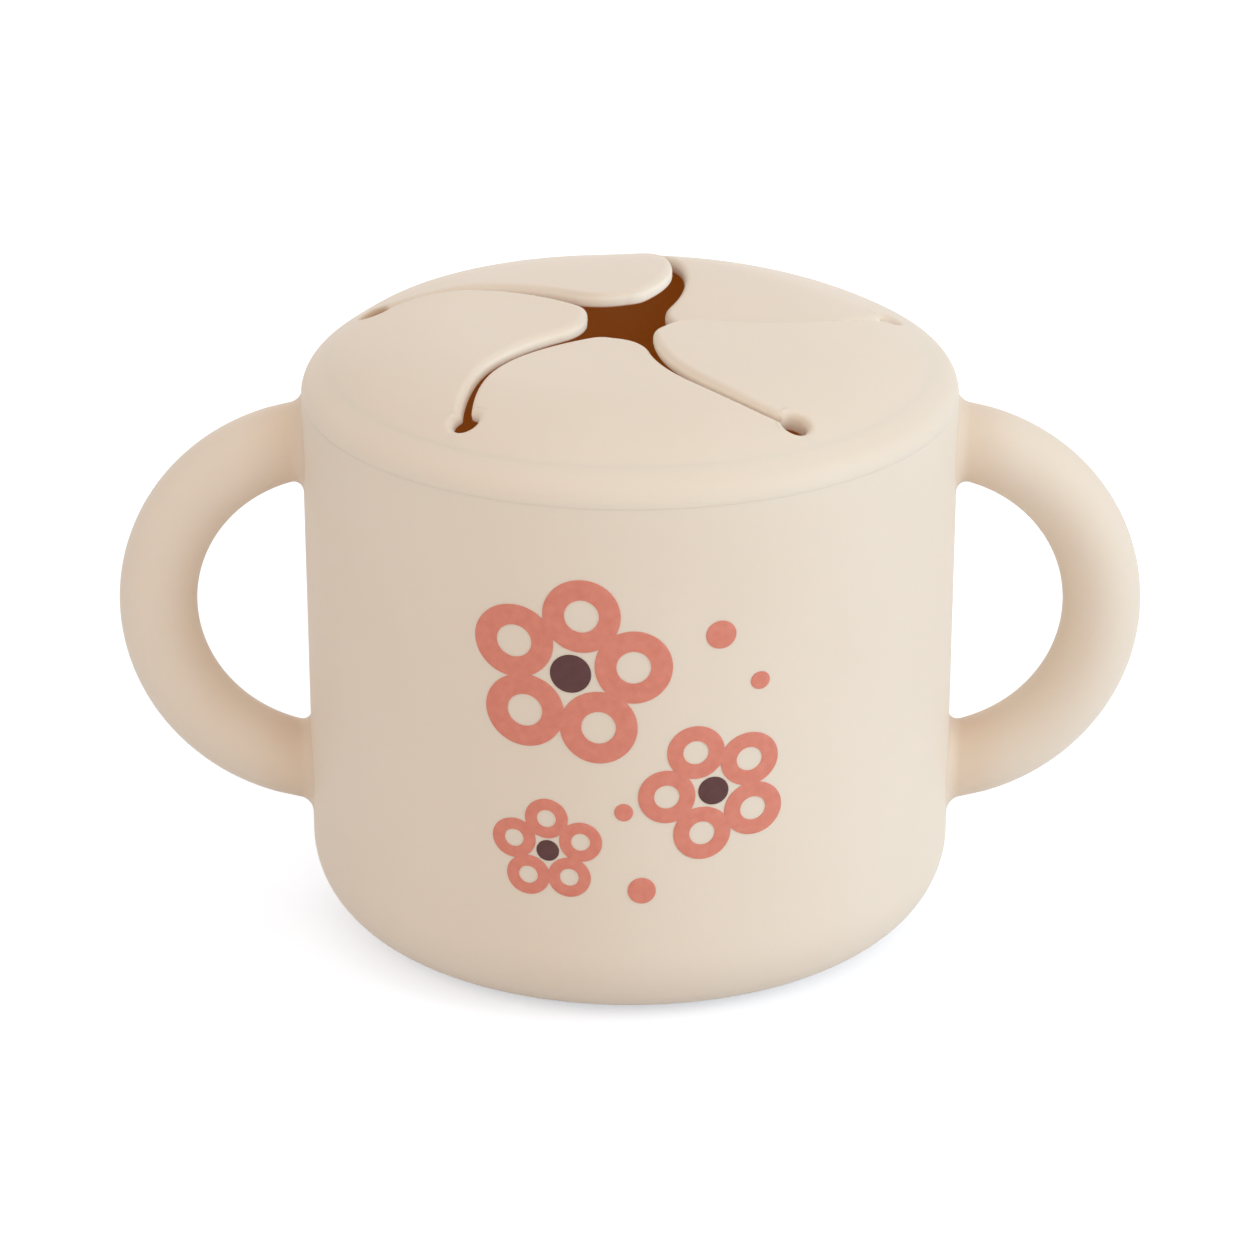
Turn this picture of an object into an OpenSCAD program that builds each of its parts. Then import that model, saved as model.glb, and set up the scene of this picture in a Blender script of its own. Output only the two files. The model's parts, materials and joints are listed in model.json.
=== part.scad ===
// Toddler snack cup in soft silicone: a cup with two ring handles and a push-in lid.
// Five curved slits cut the lid's dome into flaps that a small hand pushes through.
// Origin: centre of the base, on the table. +Z is up, the handles lie along X.

/* [Cup] */
// Outer radius of the rim, where the lid meets the cup
rim_r = 43; // [41:0.5:44.5]
// Height of the rim above the table
rim_z = 73; // [72:0.5:78]
// How much narrower the wall is where it meets the base rounding
wall_draft = 0.55; // [0.2:0.05:1]
// Radius of the rounding between the wall and the base
base_round = 11.2; // [9:0.2:13]
// Thickness of the wall
wall_t = 3; // [2.6:0.1:3.2]
// Thickness of the base
base_t = 3.4; // [3:0.1:4.2]
// Radius of the shallow recess under the base
recess_r = 22; // [16:1:24]
// Depth of the recess under the base
recess_h = 0.8; // [0.4:0.1:1.2]

/* [Handles] */
// Distance from the wall back to the centre of a handle's ring
handle_inset = 3.7; // [3:0.1:4.5]
// Height of the ring's centre above the table
handle_z = 43; // [41.5:0.5:44]
// Radius of the grip's centre line
handle_ring_r = 23.2; // [22:0.1:23.4]
// Radius of the round grip
grip_r = 5.15; // [4.4:0.05:5.2]
// Rounding where the grip meets the wall
root_round = 2.2; // [1.6:0.1:2.6]

/* [Lid] */
// Thickness of the dome and of the flaps
lid_t = 2; // [1.8:0.1:2.2]
// Radius of the edge that turns over the rim
edge_r = 3.5; // [3:0.1:4]
// Radius of the sloping shoulder
shoulder_r = 40; // [38:1:42]
// Steepness of the surface normal where the edge meets the shoulder
edge_turn = 58; // [56:1:60]
// Steepness of the surface normal where the shoulder meets the crown
shoulder_turn = 85; // [84:0.5:86]
// Depth of the plug below the rim
plug_h = 9; // [8:0.5:12]
// Thickness of the plug's wall
plug_t = 2; // [1.8:0.1:2.2]
// Room between the plug and the cup's wall
plug_gap = 0.6; // [0.5:0.05:0.8]
// Heights of the two sealing beads above the plug's foot
bead_z = [2.2, 6.2]; // [1.6:0.1:7]

/* [Flaps] */
// Distance from the rim in to the circle of relief holes
hole_inset = 7.4; // [7:0.1:7.8]
// Radius of a relief hole
hole_r = 1.7; // [1.4:0.1:1.8]
// Width of a slit
slit_w = 1.4; // [1.2:0.1:1.6]
// Radius of the arc that a slit follows
slit_r = 25.4; // [25:0.1:26]
// Angle at the relief hole between the lid's axis and the arc's centre
slit_turn = 52.3; // [51.5:0.1:53]
// Radius of the opening in the middle of the lid
opening_r = 5.8; // [5.4:0.1:6.2]
// Rounding of a flap's leading corner
lead_r = 3.4; // [2.4:0.1:3.6]
// Rounding of a flap's trailing corner
trail_r = 6; // [4:0.5:6.5]
// How far each flap hangs in at rest, in degrees, from the front one on; a negative one stands proud
rest_dip = [1.6, -1.2, 4.6, -3.8, -2]; // [-6:0.2:6]

/* [Print] */
// Thickness of the printed ink
ink_t = 0.15; // [0.1:0.05:0.3]
// Blossoms: place across, height, radius, turn
blossoms = [[-7.5, 50.5, 13, 8], [10.6, 34, 9.6, 40], [-10.5, 25.6, 7.2, 20]]; // [-12:12, 24:56, 5:13, 0:72]
// Dots: place across, height, radius
dots = [[11.5, 55.5, 1.9], [16.5, 48.5, 1.2], [-0.8, 31.5, 1.2], [1.5, 20.5, 1.8]]; // [-18:18, 18:64, 1:2.5]
// Outer radius of a petal, as a share of its blossom's radius
petal_r = 0.38; // [0.3:0.01:0.38]
// Radius of the hole in a petal, as a share of its blossom's radius
petal_hole_r = 0.17; // [0.1:0.01:0.24]
// Radius of the heart, as a share of its blossom's radius
heart_r = 0.2; // [0.12:0.01:0.22]

/* [Hidden] */
$fn = 128;

silicone = [0.89, 0.83, 0.76];
pink = [0.85, 0.50, 0.45];
plum = [0.37, 0.25, 0.24];

// Cup and handles
wall_low_r = rim_r - wall_draft;
inner_round = base_round - wall_t;
rim_round = 0.4;
root_h = sqrt(handle_ring_r * handle_ring_r - handle_inset * handle_inset);

// Lid surface: three arcs that run on into each other, as [centre across, centre height, radius]
edge_arc = [rim_r - edge_r, rim_z, edge_r];
shoulder_arc = [edge_arc[0] + (edge_r - shoulder_r) * cos(edge_turn),
                edge_arc[1] + (edge_r - shoulder_r) * sin(edge_turn), shoulder_r];
crown_r = shoulder_r + shoulder_arc[0] / cos(shoulder_turn);
crown_arc = [0, shoulder_arc[1] + (shoulder_r - crown_r) * sin(shoulder_turn), crown_r];
lid_top = crown_arc[1] + crown_r;
plug_r = rim_r - wall_t - plug_gap;
plug_inner_r = plug_r - plug_t;
plug_foot = rim_z - plug_h;
plug_lead_in = 0.6;
flange_t = 1.6;
bead_clearance = 0.05;
bead_r = 0.8;

// Slits and hinges. In a flap's own frame its leading relief hole lies on +X.
flap_count = 5;
sector = 360 / flap_count;
hole_ring_r = rim_r - hole_inset;
slit_centre = [hole_ring_r - slit_r * cos(slit_turn), slit_r * sin(slit_turn)];
lead_edge_r = slit_r - slit_w / 2;
trail_edge_r = slit_r + slit_w / 2;
hinge_n = hole_ring_r * cos(sector / 2);
hinge_z = rim_z + 6.8;
hinge_gap = 0.12;
lift_bevel = 12;
press_bevel = 30;

// Print
petal_count = 5;
ink_lift = 0.03;

// Angle of the leading relief hole of flap k
function flap_turn(k) = -90 - sector / 2 + sector * k;

// Outer radius of the cup's wall at height z
function wall_r(z) = wall_low_r + wall_draft * (z - base_round) / (rim_z - base_round);

function angle_of(v) = atan2(v[1], v[0]);
function turned(p, a) = [p[0] * cos(a) - p[1] * sin(a), p[0] * sin(a) + p[1] * cos(a)];
function whole_turn(a) = a - 360 * floor(a / 360);
function reversed(list) = [for (i = [len(list) - 1:-1:0]) list[i]];

// Points on an arc about c from angle a0 to a1
function arc(c, r, a0, a1, steps) =
    [for (i = [0:steps]) let (a = a0 + (a1 - a0) * i / steps) [c[0] + r * cos(a), c[1] + r * sin(a)]];

// Points on an arc about c from point p towards point q, turning left (1) or right (-1)
function arc_to(c, r, p, q, side, steps) =
    let (a0 = angle_of(p - c), sweep = side * whole_turn(side * (angle_of(q - c) - a0)))
    arc(c, r, a0, a0 + sweep, steps);

// Lid surface from the rim to the axis, moved in by t
function lid_curve(t) = concat(
    arc(edge_arc, edge_arc[2] - t, 0, edge_turn, 8),
    arc(shoulder_arc, shoulder_arc[2] - t, edge_turn + 3, shoulder_turn, 8),
    arc(crown_arc, crown_arc[2] - t, shoulder_turn + 1.5, 90, 3));

// Centre of a corner rounding: rc from c and ro from the axis, on the near side of c
function corner(c, rc, ro) =
    let (d = norm(c), along = (d * d + ro * ro - rc * rc) / (2 * d))
    turned([along, -sqrt(ro * ro - along * along)], angle_of(c));

// Point where the circle of radius r about c crosses the hinge line
function root(c, r) =
    let (q = turned(c, -sector / 2), across = hinge_n - q[0])
    turned([hinge_n, q[1] - sqrt(r * r - across * across)], sector / 2);

// Outline of a flap seen from above: leading edge, nose, trailing edge, closed by the hinge line
function flap_outline() =
    let (lead = slit_centre, trail = turned(slit_centre, sector),
         nose_a = corner(lead, lead_edge_r - lead_r, opening_r + lead_r),
         nose_b = corner(trail, trail_edge_r + trail_r, opening_r + trail_r))
    concat(
        arc_to(lead, lead_edge_r, root(lead, lead_edge_r), nose_a, -1, 16),
        arc_to(nose_a, lead_r, 2 * nose_a - lead, [0, 0], -1, 6),
        arc_to([0, 0], opening_r, nose_a, nose_b, 1, 4),
        arc_to(nose_b, trail_r, [0, 0], trail, -1, 6),
        arc_to(trail, trail_edge_r, nose_b, root(trail, trail_edge_r), 1, 16));

// Everything inside the wall's outer surface, and the space above it where the lid goes
module wall_envelope() {
    translate([0, 0, base_round]) cylinder(r1 = wall_low_r, r2 = rim_r, h = rim_z - base_round);
    translate([0, 0, rim_z]) cylinder(r = rim_r, h = lid_top - rim_z);
}

module cup() {
    foot = wall_low_r - base_round;
    color(silicone) rotate_extrude() polygon(concat(
        [[0, recess_h], [recess_r - recess_h, recess_h], [recess_r, 0]],
        arc([foot, base_round], base_round, -90, 0, 16),
        arc([rim_r - rim_round, rim_z - rim_round], rim_round, 0, 90, 4),
        arc([rim_r - wall_t + rim_round, rim_z - rim_round], rim_round, 90, 180, 4),
        arc([foot, base_t + inner_round], inner_round, 0, -90, 12),
        [[0, base_t]]));
}

// Flare that blends one end of the grip into the wall, side 1 at the top and -1 at the bottom
module root_flare(side) {
    height = handle_z + side * root_h;
    neck = grip_r - 0.3;
    foot = neck + root_round;
    buried = 1.5;
    // The wall curves back by this much across the width of the flare
    sag = foot * foot / (2 * rim_r);
    translate([wall_r(height) - sag, 0, height]) rotate([0, 90, 0]) rotate_extrude() polygon(concat(
        [[0, root_round], [0, -buried], [foot, -buried]],
        arc([foot, root_round], root_round, 270, 180, 5)));
}

// Ring handle on the +X side: the outer half of a ring, ending on the wall
module handle() {
    color(silicone) difference() {
        union() {
            translate([rim_r - handle_inset, 0, handle_z]) rotate([90, 0, 0])
                rotate_extrude(angle = 180, start = -90) translate([handle_ring_r, 0]) circle(r = grip_r);
            for (side = [-1, 1]) root_flare(side);
        }
        wall_envelope();
    }
}

module handle_right() handle();
module handle_left() mirror([1, 0, 0]) handle();

// Dome of even thickness, whole
module dome() {
    rotate_extrude() polygon(concat(lid_curve(0), reversed(lid_curve(lid_t))));
}

// Room for a flap to bend: a narrow groove above its hinge line and a wide one below
module hinge_groove() {
    depth = 4 * lid_t;
    length = 2 * hole_ring_r * sin(sector / 2);
    above = hinge_gap + depth * tan(lift_bevel);
    below = hinge_gap + depth * tan(press_bevel);
    rotate([0, 0, sector / 2]) translate([hinge_n, 0, hinge_z]) rotate([90, 0, 0])
        linear_extrude(height = length, center = true) polygon([
            [hinge_gap, 0], [above, depth], [-above, depth],
            [-hinge_gap, 0], [-below, -depth], [below, -depth]]);
}

// Turns what it holds about a flap's hinge line, nose down for a positive angle
module about_hinge(angle) {
    rotate([0, 0, sector / 2]) translate([hinge_n, 0, hinge_z]) rotate([0, -angle, 0])
        translate([-hinge_n, 0, -hinge_z]) rotate([0, 0, -sector / 2]) children();
}

module flap(k) {
    color(silicone) rotate([0, 0, flap_turn(k)]) about_hinge(rest_dip[k]) difference() {
        intersection() {
            dome();
            linear_extrude(height = 2 * lid_top) polygon(flap_outline());
        }
        hinge_groove();
    }
}

// Plan of the room that the flaps and the relief holes take out of the dome
module flap_room() {
    circle(r = hole_ring_r, $fn = flap_count);
    for (k = [0:flap_count - 1]) rotate(sector * k) translate([hole_ring_r, 0]) circle(r = hole_r, $fn = 48);
}

// Ring of the dome outside the flaps, with the flange that rests on the rim
module lid_crown() {
    top = [for (p = lid_curve(0)) if (p[1] > rim_z + rim_round) p];
    under = [for (p = lid_curve(lid_t)) if (p[0] < plug_inner_r - 1) p];
    color(silicone) difference() {
        rotate_extrude() polygon(concat(
            arc([rim_r - rim_round, rim_z + rim_round], rim_round, -90, -20, 3), top,
            reversed(under), [[plug_inner_r, rim_z + flange_t], [plug_inner_r, rim_z]]));
        rotate([0, 0, flap_turn(0)]) linear_extrude(height = 2 * lid_top) union() flap_room();
        for (k = [0:flap_count - 1]) rotate([0, 0, flap_turn(k)]) hinge_groove();
    }
}

// Half-round sealing bead at height z above the plug's foot, as points on the plug's outline
function bead(z) =
    let (reach = wall_r(plug_foot + z) - wall_t - bead_clearance,
         half = acos((plug_r - reach + bead_r) / bead_r))
    arc([reach - bead_r, plug_foot + z], bead_r, -half, half, 8);

// Skirt that pushes into the cup, with two sealing beads
module lid_plug() {
    color(silicone) rotate_extrude() polygon(concat(
        [[plug_inner_r, rim_z], [plug_inner_r, plug_foot]],
        [[plug_r - plug_lead_in, plug_foot], [plug_r, plug_foot + plug_lead_in]],
        [for (z = bead_z) each bead(z)], [[plug_r, rim_z]]));
}

// Prints a flat drawing onto the front of the wall
module printed() {
    low = base_round;
    high = rim_z;
    low_r = wall_r(low) + ink_lift;
    high_r = wall_r(high) + ink_lift;
    intersection() {
        rotate_extrude() polygon([
            [low_r, low], [low_r + ink_t, low],
            [high_r + ink_t, high], [high_r, high]]);
        rotate([90, 0, 0]) linear_extrude(height = 2 * rim_r) children();
    }
}

// Ring petals of blossom b, which reach out to its radius
module petals(b) {
    translate([b[0], b[1]]) rotate(b[3]) for (i = [1:petal_count]) rotate(360 * i / petal_count)
        translate([(1 - petal_r) * b[2], 0]) difference() {
            circle(r = petal_r * b[2]);
            circle(r = petal_hole_r * b[2]);
        }
}

module print_pink() {
    color(pink) printed() {
        for (b = blossoms) petals(b);
        for (d = dots) translate([d[0], d[1]]) circle(r = d[2]);
    }
}

module print_plum() {
    color(plum) printed() for (b = blossoms) translate([b[0], b[1]]) circle(r = heart_r * b[2]);
}

cup();
handle_left();
handle_right();
lid_crown();
lid_plug();
flap(0);  // flap_front
flap(1);  // flap_right
flap(2);  // flap_back_right
flap(3);  // flap_back_left
flap(4);  // flap_left
print_pink();
print_plum();
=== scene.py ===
import json
import math

import bmesh
import bpy
from mathutils import Matrix, Vector
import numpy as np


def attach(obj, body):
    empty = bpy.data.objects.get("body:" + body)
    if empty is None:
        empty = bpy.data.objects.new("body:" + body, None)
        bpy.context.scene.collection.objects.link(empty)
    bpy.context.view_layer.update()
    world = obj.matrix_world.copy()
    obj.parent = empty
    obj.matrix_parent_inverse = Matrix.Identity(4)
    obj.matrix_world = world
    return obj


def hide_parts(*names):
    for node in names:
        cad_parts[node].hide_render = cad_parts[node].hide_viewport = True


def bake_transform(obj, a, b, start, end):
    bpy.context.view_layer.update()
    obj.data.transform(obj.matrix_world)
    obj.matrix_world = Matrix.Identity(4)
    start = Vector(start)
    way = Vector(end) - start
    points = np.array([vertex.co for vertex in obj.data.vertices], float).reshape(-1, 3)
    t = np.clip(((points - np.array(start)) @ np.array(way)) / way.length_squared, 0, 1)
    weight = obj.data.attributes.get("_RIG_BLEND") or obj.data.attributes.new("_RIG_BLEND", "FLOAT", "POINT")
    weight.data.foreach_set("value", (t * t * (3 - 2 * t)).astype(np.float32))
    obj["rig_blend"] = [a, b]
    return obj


# Toddler snack cup in soft silicone, with two ring handles and a lid of five flaps.
# Sizes are in millimetres and become metres where a mesh is made.

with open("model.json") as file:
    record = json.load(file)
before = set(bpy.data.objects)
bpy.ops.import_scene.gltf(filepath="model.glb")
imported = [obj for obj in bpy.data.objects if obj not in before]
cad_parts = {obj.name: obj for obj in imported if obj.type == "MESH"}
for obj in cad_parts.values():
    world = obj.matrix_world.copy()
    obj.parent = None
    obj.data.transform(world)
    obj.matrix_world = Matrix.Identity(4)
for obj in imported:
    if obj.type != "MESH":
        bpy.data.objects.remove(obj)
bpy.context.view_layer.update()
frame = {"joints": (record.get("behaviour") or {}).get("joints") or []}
mm = 0.001
weld = 0.000001  # points nearer than this, in metres, are one
upright = 0.9  # a normal whose z is beyond this faces up


def leaveEdit():
    if bpy.context.mode != "OBJECT":
        bpy.ops.object.mode_set(mode="OBJECT")


def pickOnly(*pieces):
    leaveEdit()
    bpy.ops.object.select_all(action="DESELECT")
    for piece in pieces:
        piece.select_set(True)
    bpy.context.view_layer.objects.active = pieces[0]


def startEdit(piece, kind="VERT"):
    pickOnly(piece)
    bpy.ops.object.mode_set(mode="EDIT")
    bpy.ops.mesh.select_mode(type=kind)
    bpy.ops.mesh.select_all(action="DESELECT")


def selectWhere(piece, kind, test):
    # selects the vertices, edges or faces that pass the test, and nothing else
    bpy.ops.mesh.select_mode(type=kind)
    bpy.ops.mesh.select_all(action="DESELECT")
    mesh = bmesh.from_edit_mesh(piece.data)
    items = {"VERT": mesh.verts, "EDGE": mesh.edges, "FACE": mesh.faces}[kind]
    for item in items:
        if test(item):
            item.select_set(True)
    mesh.select_flush_mode()
    bmesh.update_edit_mesh(piece.data)


def middle(edge):
    return (edge.verts[0].co + edge.verts[1].co) / 2


def settle(piece):
    # puts a piece's place into its mesh
    pickOnly(piece)
    bpy.ops.object.transform_apply(location=True, rotation=True, scale=True)


def smooth(piece, angle):
    pickOnly(piece)
    bpy.ops.object.shade_smooth_by_angle(angle=math.radians(angle))


def tidyMesh(piece):
    startEdit(piece)
    bpy.ops.mesh.select_all(action="SELECT")
    bpy.ops.mesh.remove_doubles(threshold=weld)
    bpy.ops.mesh.normals_make_consistent(inside=False)
    leaveEdit()


def cutAll(place, direction):
    # cuts the whole mesh along a plane
    bpy.ops.mesh.select_all(action="SELECT")
    bpy.ops.mesh.bisect(plane_co=place, plane_no=direction, threshold=weld)


def drawLine(name, points, closed=False):
    # draws a line of vertices from point to point, in millimetres, by extruding the last one
    bpy.ops.mesh.primitive_plane_add(size=mm)
    piece = bpy.context.object
    piece.name = piece.data.name = name
    startEdit(piece)
    bpy.ops.mesh.select_all(action="SELECT")
    bpy.ops.mesh.merge(type="CENTER")
    bpy.ops.mesh.select_all(action="SELECT")
    places = [Vector(p) * mm for p in points]
    bpy.ops.transform.translate(value=places[0])
    for here, there in zip(places, places[1:]):
        bpy.ops.mesh.extrude_vertices_move(TRANSFORM_OT_translate={"value": there - here})
    if closed:
        bpy.ops.mesh.select_all(action="SELECT")
        bpy.ops.mesh.edge_face_add()
    leaveEdit()
    return piece


def turnProfile(name, profile, steps):
    # turns a profile of (across, height) points round the cup's axis
    piece = drawLine(name, [(across, 0, height) for across, height in profile])
    startEdit(piece)
    bpy.ops.mesh.select_all(action="SELECT")
    bpy.ops.mesh.spin(steps=steps, angle=math.tau, center=(0, 0, 0), axis=(0, 0, 1))
    tidyMesh(piece)
    return piece


def lineInside(piece, test):
    # gives the piece its silicone, and to the inside faces that pass the test the one with painted shade and glow
    piece.data.materials.append(silicone)
    piece.data.materials.append(innerShadeGlowSilicone)
    for face in piece.data.polygons:
        if test(face):
            face.material_index = 1


def arc(centre, radius, start, end, steps):
    angles = [math.radians(start + (end - start) * i / steps) for i in range(steps + 1)]
    return [(centre[0] + radius * math.cos(a), centre[1] + radius * math.sin(a)) for a in angles]


def turned(point, degrees):
    c, s = math.cos(math.radians(degrees)), math.sin(math.radians(degrees))
    return point[0] * c - point[1] * s, point[0] * s + point[1] * c


def angleOf(point):
    return math.degrees(math.atan2(point[1], point[0]))


def ease(share):
    share = min(max(share, 0), 1)
    return share * share * (3 - 2 * share)


def newMaterial(name):
    material = bpy.data.materials.new(name)
    material.use_nodes = True
    nodes = material.node_tree.nodes
    return material, nodes, material.node_tree.links, nodes["Principled BSDF"]


def addNoise(nodes, links, place, scale, detail):
    noise = nodes.new("ShaderNodeTexNoise")
    noise.inputs["Scale"].default_value = scale
    noise.inputs["Detail"].default_value = detail
    links.new(place.outputs["Object"], noise.inputs["Vector"])
    return noise


def addRamp(nodes, links, source, low, high, start, end):
    ramp = nodes.new("ShaderNodeValToRGB")
    ramp.color_ramp.elements[0].position = start
    ramp.color_ramp.elements[0].color = (*low, 1)
    ramp.color_ramp.elements[1].position = end
    ramp.color_ramp.elements[1].color = (*high, 1)
    links.new(source, ramp.inputs["Fac"])
    return ramp


def addStep(nodes, links, source, colour, nextColour, start, end):
    # passes from one colour to the next while the source goes from start to end
    span = nodes.new("ShaderNodeMapRange")
    span.interpolation_type = "SMOOTHSTEP"
    span.inputs["From Min"].default_value = start
    span.inputs["From Max"].default_value = end
    links.new(source, span.inputs["Value"])
    mix = nodes.new("ShaderNodeMix")
    mix.data_type = "RGBA"
    links.new(span.outputs["Result"], mix.inputs["Factor"])
    if isinstance(colour, tuple):
        mix.inputs["A"].default_value = (*colour, 1)
    else:
        links.new(colour, mix.inputs["A"])
    mix.inputs["B"].default_value = (*nextColour, 1)
    return mix.outputs["Result"]


def addBump(nodes, links, source, shader, strength, depth):
    bump = nodes.new("ShaderNodeBump")
    bump.inputs["Strength"].default_value = strength
    bump.inputs["Distance"].default_value = depth
    links.new(source, bump.inputs["Height"])
    links.new(bump.outputs["Normal"], shader.inputs["Normal"])


def readOpenness(nodes, reach, samples):
    # 1 where a place lies open to its surroundings, 0 where it is closed in
    openness = nodes.new("ShaderNodeAmbientOcclusion")
    openness.samples = samples
    openness.inputs["Distance"].default_value = reach
    return openness.outputs["AO"]


def readAside(nodes, links, place):
    # how far to the left or right of the cup's axis, in metres
    split = nodes.new("ShaderNodeSeparateXYZ")
    links.new(place.outputs["Object"], split.inputs["Vector"])
    aside = nodes.new("ShaderNodeMath")
    aside.operation = "ABSOLUTE"
    links.new(split.outputs["X"], aside.inputs[0])
    return aside.outputs[0]


def readMark(nodes, name):
    # a number noted on each vertex of the flaps
    mark = nodes.new("ShaderNodeAttribute")
    mark.attribute_name = name
    return mark.outputs["Fac"]


def readSource(nodes, links, place, source, look):
    # what a look's steps follow, by its name
    if source == "openness":
        return readOpenness(nodes, look["openReach"], look["openSamples"])
    if source == "aside":
        return readAside(nodes, links, place)
    return readMark(nodes, source)


siliconeLook = {
    "lighter": (0.824, 0.694, 0.567),
    "deeper": (0.806, 0.674, 0.546),
    "cloudScale": 28,  # soft clouding of the pigment
    "cloudDetail": 3,
    "cloudSpan": (0.35, 0.65),
    "roughness": (0.56, 0.64),
    "grainScale": 2600,  # moulded matte grain
    "grainDetail": 2,
    "grainStrength": 0.35,
    "grainDepth": 0.00001,
    "specular": 0.35,
    "sheen": 0.08,
    "sheenRoughness": 0.5,
    "scatter": 0.12,
    "scatterReach": (0.0030, 0.0014, 0.0008),
    "steps": [],  # what is followed, the colour that it leads to, and from where to where
}
# inside faces: painted shade and painted glow; where they are closed in, the base colour turns deep brown and an
# emitted warm glow stands in for the light that comes through the wall
innerShadeGlowLook = dict(siliconeLook, scatter=0.0, openReach=0.12, openSamples=32,
                 steps=[("openness", (0.59, 0.28, 0.10), 0.12, 0.03)],
                 glow=("openness", (0.066, 0.022, 0.0015), 0.12, 0.03))
flapPaintedLightShadeLook = dict(siliconeLook, steps=[
    ("cutDepth", (0.98, 0.87, 0.745), 0.12, 0.45),  # painted light: paler down the cut
    ("cutDepth", (0.90, 0.50, 0.24), 0.86, 0.97),  # painted glow: warm where the lower edge thins out, as if light shone through it
    ("holeWallShade", (0.60, 0.42, 0.28), 0, 1),  # painted shade: tan in the relief holes
])
# handles: painted shade, a little deeper and warmer where they run into the wall
handleRootShadeLook = dict(siliconeLook, steps=[("aside", (0.775, 0.615, 0.475), 0.052, 0.0445)])


def makeSilicone(name, look):
    material, nodes, links, shader = newMaterial(name)
    place = nodes.new("ShaderNodeTexCoord")
    clouds = addNoise(nodes, links, place, look["cloudScale"], look["cloudDetail"])
    tint = addRamp(nodes, links, clouds.outputs["Fac"], look["deeper"], look["lighter"], *look["cloudSpan"])
    colour = tint.outputs["Color"]
    followed = {}
    for source, nextColour, start, end in look["steps"]:
        if source not in followed:
            followed[source] = readSource(nodes, links, place, source, look)
        colour = addStep(nodes, links, followed[source], colour, nextColour, start, end)
    links.new(colour, shader.inputs["Base Color"])
    # painted glow: an emitted colour that stands in for light coming through the wall where the inside is closed
    # in
    if "glow" in look:
        source, brightest, start, end = look["glow"]
        glow = addStep(nodes, links, followed[source], (0, 0, 0), brightest, start, end)
        links.new(glow, shader.inputs["Emission Color"])
        shader.inputs["Emission Strength"].default_value = 1.0
    grain = addNoise(nodes, links, place, look["grainScale"], look["grainDetail"])
    gloss = nodes.new("ShaderNodeMapRange")
    gloss.inputs["To Min"].default_value = look["roughness"][0]
    gloss.inputs["To Max"].default_value = look["roughness"][1]
    links.new(grain.outputs["Fac"], gloss.inputs["Value"])
    links.new(gloss.outputs["Result"], shader.inputs["Roughness"])
    addBump(nodes, links, grain.outputs["Fac"], shader, look["grainStrength"], look["grainDepth"])
    shader.inputs["Specular IOR Level"].default_value = look["specular"]
    shader.inputs["Sheen Weight"].default_value = look["sheen"]
    shader.inputs["Sheen Roughness"].default_value = look["sheenRoughness"]
    shader.inputs["Subsurface Weight"].default_value = look["scatter"]
    shader.inputs["Subsurface Radius"].default_value = look["scatterReach"]
    shader.inputs["Subsurface Scale"].default_value = 1.0
    return material


inkLook = {
    "mottleScale": 900,
    "mottleDetail": 4,
    "mottleSpan": (0.3, 0.7),
    "mottleStrength": 0.25,
    "mottleDepth": 0.00001,
    "roughness": 0.6,
    "specular": 0.3,
}


def makeInk(name, deeper, lighter):
    material, nodes, links, shader = newMaterial(name)
    place = nodes.new("ShaderNodeTexCoord")
    mottle = addNoise(nodes, links, place, inkLook["mottleScale"], inkLook["mottleDetail"])
    tint = addRamp(nodes, links, mottle.outputs["Fac"], deeper, lighter, *inkLook["mottleSpan"])
    links.new(tint.outputs["Color"], shader.inputs["Base Color"])
    addBump(nodes, links, mottle.outputs["Fac"], shader, inkLook["mottleStrength"], inkLook["mottleDepth"])
    shader.inputs["Roughness"].default_value = inkLook["roughness"]
    shader.inputs["Specular IOR Level"].default_value = inkLook["specular"]
    return material


silicone = makeSilicone("beigeSilicone", siliconeLook)
innerShadeGlowSilicone = makeSilicone("innerPaintedShadeGlow", innerShadeGlowLook)
flapSiliconePaintedLightShade = makeSilicone("flapSiliconePaintedLightShade", flapPaintedLightShadeLook)
handleSiliconeRootShade = makeSilicone("handleSiliconeRootShade", handleRootShadeLook)
inkPink = makeInk("inkPink", (0.680, 0.212, 0.146), (0.735, 0.252, 0.178))
inkPlum = makeInk("inkPlum", (0.092, 0.034, 0.032), (0.109, 0.042, 0.040))
print("materials ready")


cup = {
    "rimRadius": 43.0,
    "rimHeight": 73.0,
    "wallDraft": 0.55,
    "baseRound": 11.2,
    "wallThickness": 3.0,
    "baseThickness": 3.4,
    "recessRadius": 22.0,
    "recessDepth": 0.8,
    "recessRound": 0.4,
    "standRound": 0.5,  # inner edge of the ring that the cup stands on
    "rimRound": 0.04,
    "innerRimRound": 0.8,
    "wallRows": 24,
    "steps": 256,
    "arcSteps": {"recess": 3, "stand": 3, "foot": 24, "rim": 4, "innerRim": 5, "innerFoot": 18},
    "smoothAngle": 50,
}
wallLowRadius = cup["rimRadius"] - cup["wallDraft"]


def wallRadius(height):
    share = (height - cup["baseRound"]) / (cup["rimHeight"] - cup["baseRound"])
    return wallLowRadius + cup["wallDraft"] * share


def isInCup(face):
    lowest, highest = cup["baseThickness"] * 0.9, cup["rimHeight"] - cup["innerRimRound"]
    looksIn = face.normal.xy.dot(face.center.xy) < 0 or face.normal.z > upright
    return looksIn and lowest * mm < face.center.z < highest * mm


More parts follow.
